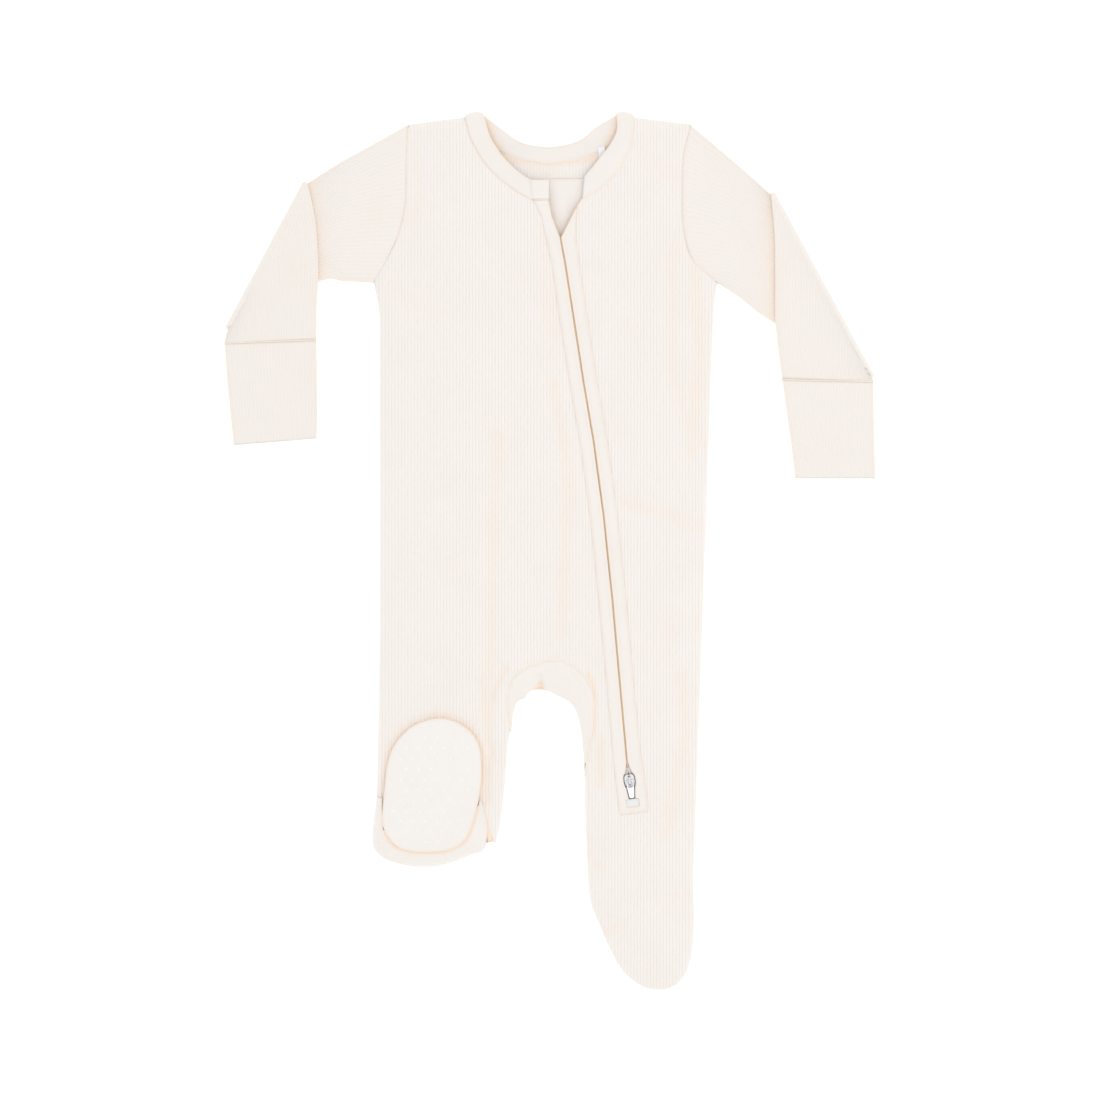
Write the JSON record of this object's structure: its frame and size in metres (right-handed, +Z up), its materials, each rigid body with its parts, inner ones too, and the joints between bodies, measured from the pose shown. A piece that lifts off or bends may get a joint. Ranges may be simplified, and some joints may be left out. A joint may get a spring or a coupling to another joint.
{
  "type": "footed baby sleepsuit",
  "caption": "Rib-knit baby sleepsuit with feet and fold-over mitten cuffs, laid flat with a slanting front zip and the right foot turned up to show its sole.",
  "frame": {"origin": "middle of the underside that rests on the surface", "axes": "+Z up from the surface the suit lies on, +Y towards the neck, +X towards the wearer's left sleeve"},
  "size_m": [0.4234, 0.5706, 0.0086],
  "materials": {
    "rib_knit": "cream fine rib knit, soft and matt",
    "smooth_knit": "cream smooth jersey, soft and matt",
    "sole_knit": "pale jersey with small grip dots",
    "zip_tape": "cream woven tape",
    "nickel": "polished nickel",
    "film": "pale clear film over tape",
    "label": "blank white satin ribbon"
  },
  "bodies": {
    "garment": {"back": "rib_knit", "front": "rib_knit", "sleeve_right": "rib_knit", "sleeve_left": "rib_knit", "cuff_right": "rib_knit", "cuff_left": "rib_knit", "neckband": "smooth_knit", "chin_tab": "smooth_knit", "zip_facing": "smooth_knit", "zip_guard": "smooth_knit", "zip_tape_right": "zip_tape", "zip_tape_left": "zip_tape", "zip_slider": "nickel", "zip_film": "film", "crotch_gusset": "smooth_knit", "sole_right": "sole_knit", "foot_upper_right": "rib_knit", "heel_right": "smooth_knit", "sole_left": "sole_knit", "care_label": "label"},
    "pull_tab": {"zip_pull": "nickel"}
  },
  "joints": [
    {"name": "pull_swing", "type": "hinge", "parent": "garment", "child": "pull_tab", "pos_m": [0.0516, -0.14885, 0.0064], "axis": [-0.9903, -0.1392, 0], "range_deg": [0, 165]}
  ]
}
